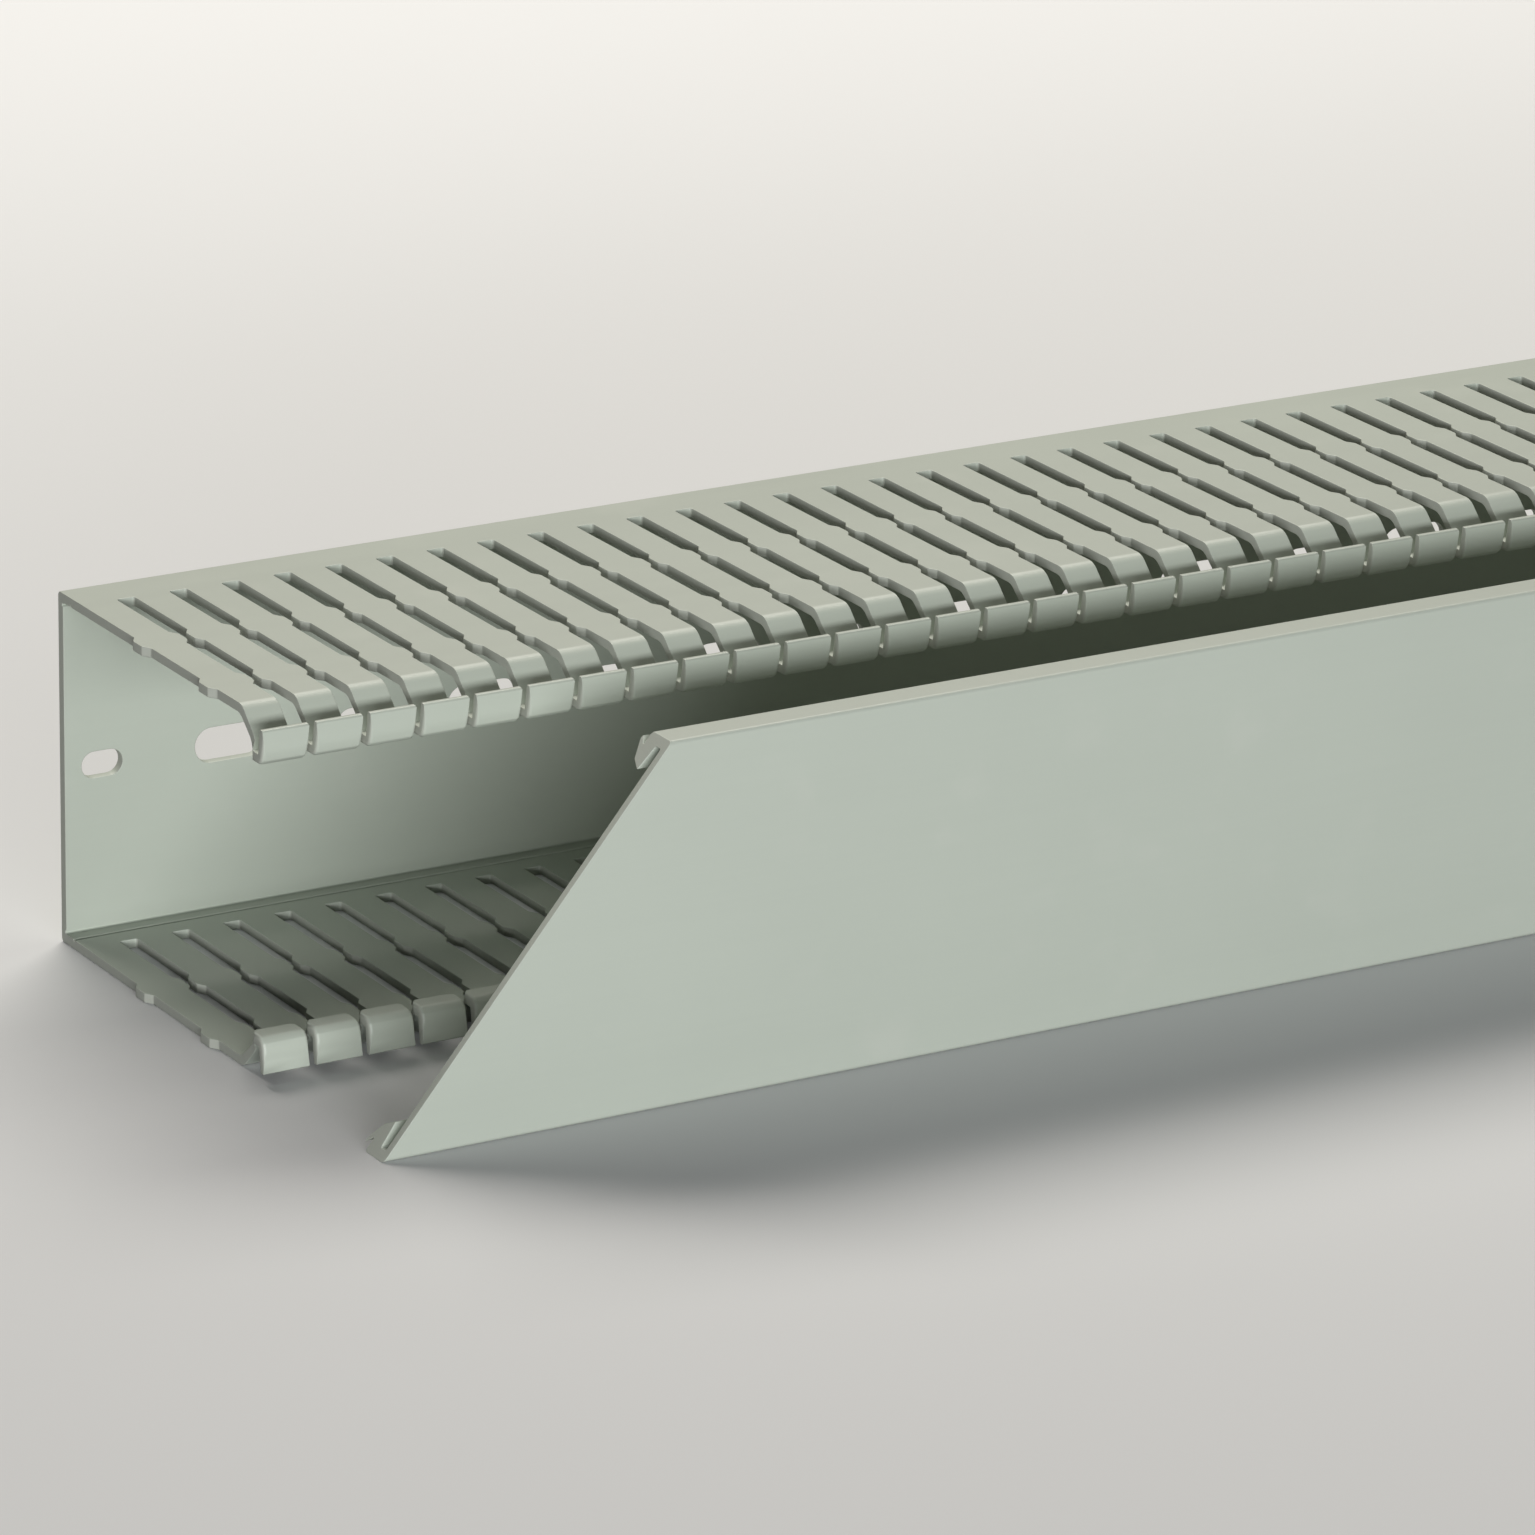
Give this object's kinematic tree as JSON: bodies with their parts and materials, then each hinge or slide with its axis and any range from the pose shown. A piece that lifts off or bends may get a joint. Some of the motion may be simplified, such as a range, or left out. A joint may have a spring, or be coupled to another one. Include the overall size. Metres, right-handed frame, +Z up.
{
  "type": "slotted wire duct",
  "caption": "Straight rectangular wire duct with slotted finger side walls, hooked finger heads, a perforated back wall, and a mitre-cut clip-on cover standing beside it.",
  "frame": {"origin": "middle of the duct's flat back face, the face that lies on a mounting plate", "axes": "+X along the length, towards the end that the picture doesn't show; +Y into the mounting plate, so the open mouth and the cover are on the -Y side; +Z up as stored, across the duct from one slotted side wall to the other"},
  "size_m": [1.0013, 0.148, 0.08],
  "materials": {
    "channel_pvc": "satin grey-green rigid PVC",
    "cover_pvc": "satin grey-green rigid PVC"
  },
  "bodies": {
    "channel": {"slotted_channel": "channel_pvc"},
    "cover": {"cover": "cover_pvc"}
  },
  "joints": [
    {"name": "cover_close", "type": "slide", "parent": "channel", "child": "cover", "axis": [0, 1, 0], "range_m": [0, 0.048]}
  ]
}
